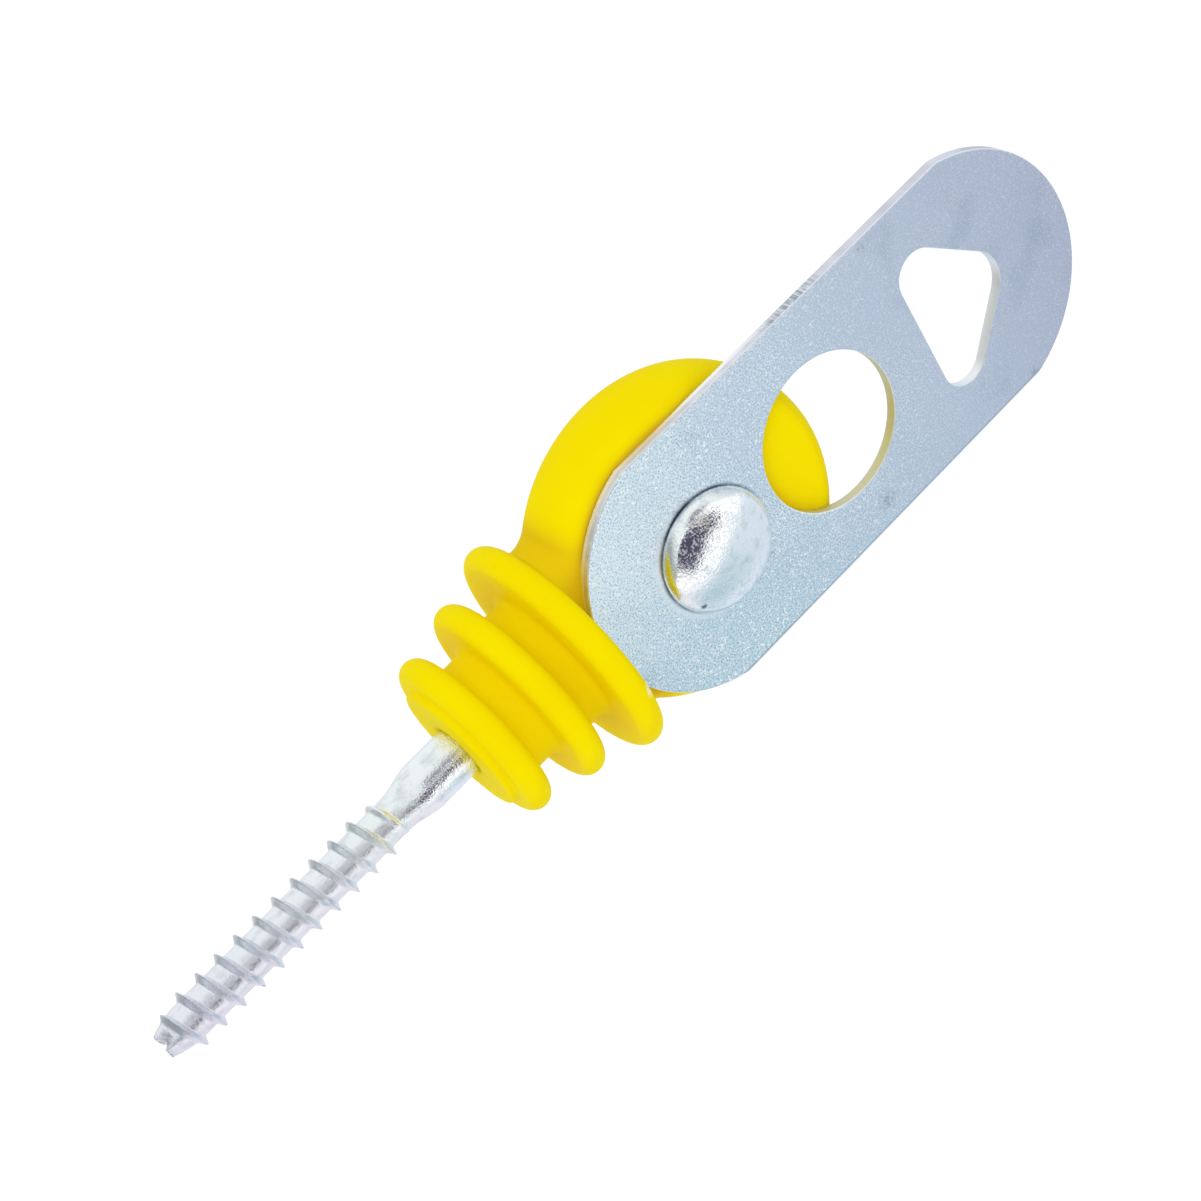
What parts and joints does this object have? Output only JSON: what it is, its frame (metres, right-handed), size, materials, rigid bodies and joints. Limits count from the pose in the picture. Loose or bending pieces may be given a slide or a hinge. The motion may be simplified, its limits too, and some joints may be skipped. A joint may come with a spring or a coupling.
{
  "type": "fence insulator",
  "caption": "Screw-in electric fence insulator: ribbed plastic body with a round head, a lag screw, and a flat steel hook plate with two eyes, swivelling on a carriage bolt.",
  "frame": {"origin": "on the lag screw's axis, in the seat face that meets the post", "axes": "+X out of the post along the lag screw towards the hook plate's far end, -Y out of the plate's front on the bolt head's side, +Z across the plate"},
  "size_m": [0.1475, 0.0328, 0.0416],
  "materials": {
    "yellow_plastic": "satin moulded polyamide, bright yellow",
    "zinc_plate": "zinc plated sheet, fine bright speckle, blue passivation",
    "bright_zinc": "bright zinc plated steel",
    "nylon_ring": "dull nylon"
  },
  "bodies": {
    "insulator": {"insulator_body": "yellow_plastic", "lag_screw": "bright_zinc"},
    "swivel": {"hook_plate": "zinc_plate", "carriage_bolt": "bright_zinc", "washer": "bright_zinc", "lock_nut": "bright_zinc", "nut_ring": "nylon_ring"}
  },
  "joints": [
    {"name": "plate_swivel", "type": "hinge", "parent": "insulator", "child": "swivel", "pos_m": [0.0376, 0, 0], "axis": [0, 1, 0], "range_deg": [-90, 90]}
  ]
}
